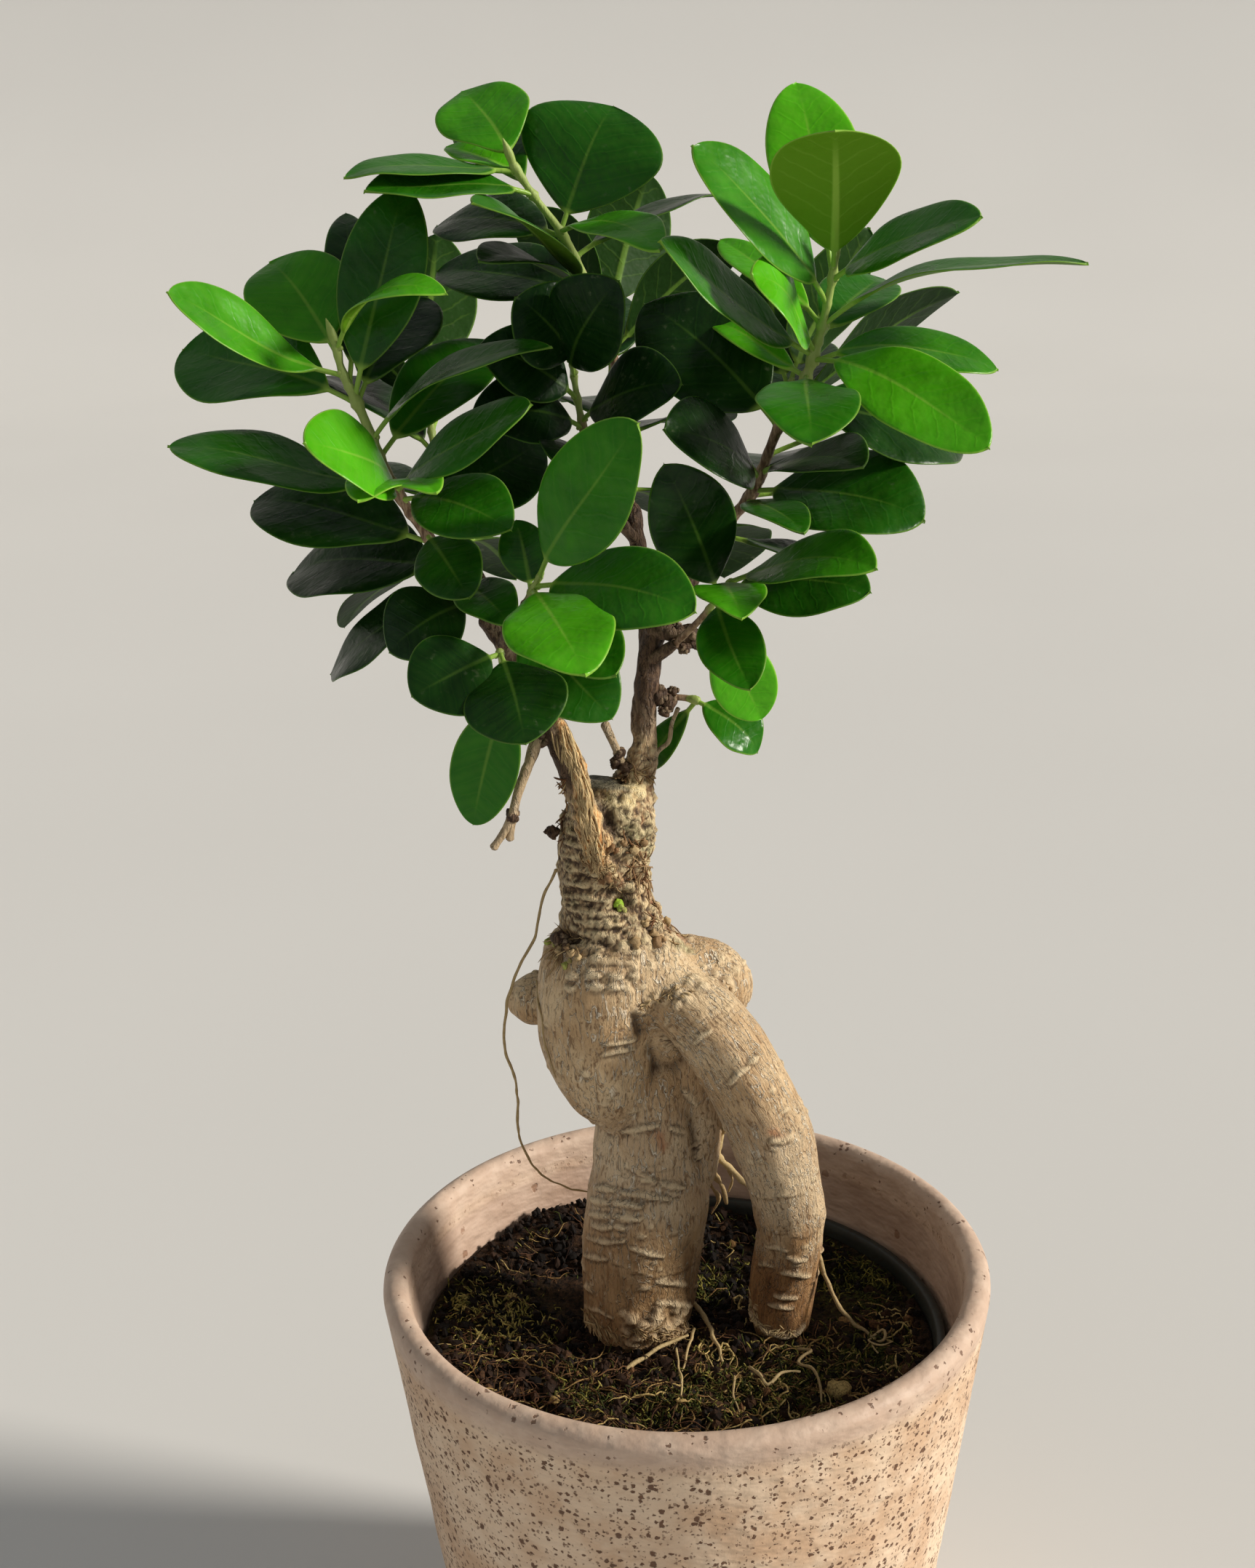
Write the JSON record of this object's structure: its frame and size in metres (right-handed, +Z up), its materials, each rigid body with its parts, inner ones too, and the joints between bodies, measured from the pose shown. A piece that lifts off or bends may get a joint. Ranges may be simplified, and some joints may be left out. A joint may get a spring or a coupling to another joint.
{
  "type": "potted bonsai",
  "caption": "Ficus ginseng bonsai with a swollen root trunk and leafy shoots, in soil in a nursery pot inside a tapered stoneware pot.",
  "frame": {"origin": "centre of the pot's flat underside", "axes": "+Z up the plant, -Y towards the side with the two root legs in view, +X to the right seen from there"},
  "size_m": [0.1848, 0.1515, 0.389],
  "materials": {
    "stoneware": "unglazed matte beige stoneware with dark brown speckles and a smooth paler lip",
    "liner_plastic": "thin pale translucent nursery pot plastic",
    "soil": "dark fibrous potting soil with moss and straw-coloured root bits",
    "bark": "pale tan wrinkled bark with cross ridges, brown on the branches",
    "foliage": "glossy mid-green leaves with paler margins and midribs",
    "shaded_foliage": "glossy dark green older leaves"
  },
  "bodies": {
    "root": {"pot": "stoneware", "nursery_pot": "liner_plastic", "soil": "soil", "trunk": "bark", "shoot_left": "foliage", "shoot_top": "foliage", "shoot_right": "foliage", "shoot_front": "foliage", "shoot_low_left": "foliage", "shoot_low_right": "foliage", "shoot_hanging": "foliage", "shoot_middle": "shaded_foliage", "shoot_back_left": "shaded_foliage", "shoot_back_right": "shaded_foliage", "shoot_back": "shaded_foliage"}
  },
  "joints": []
}
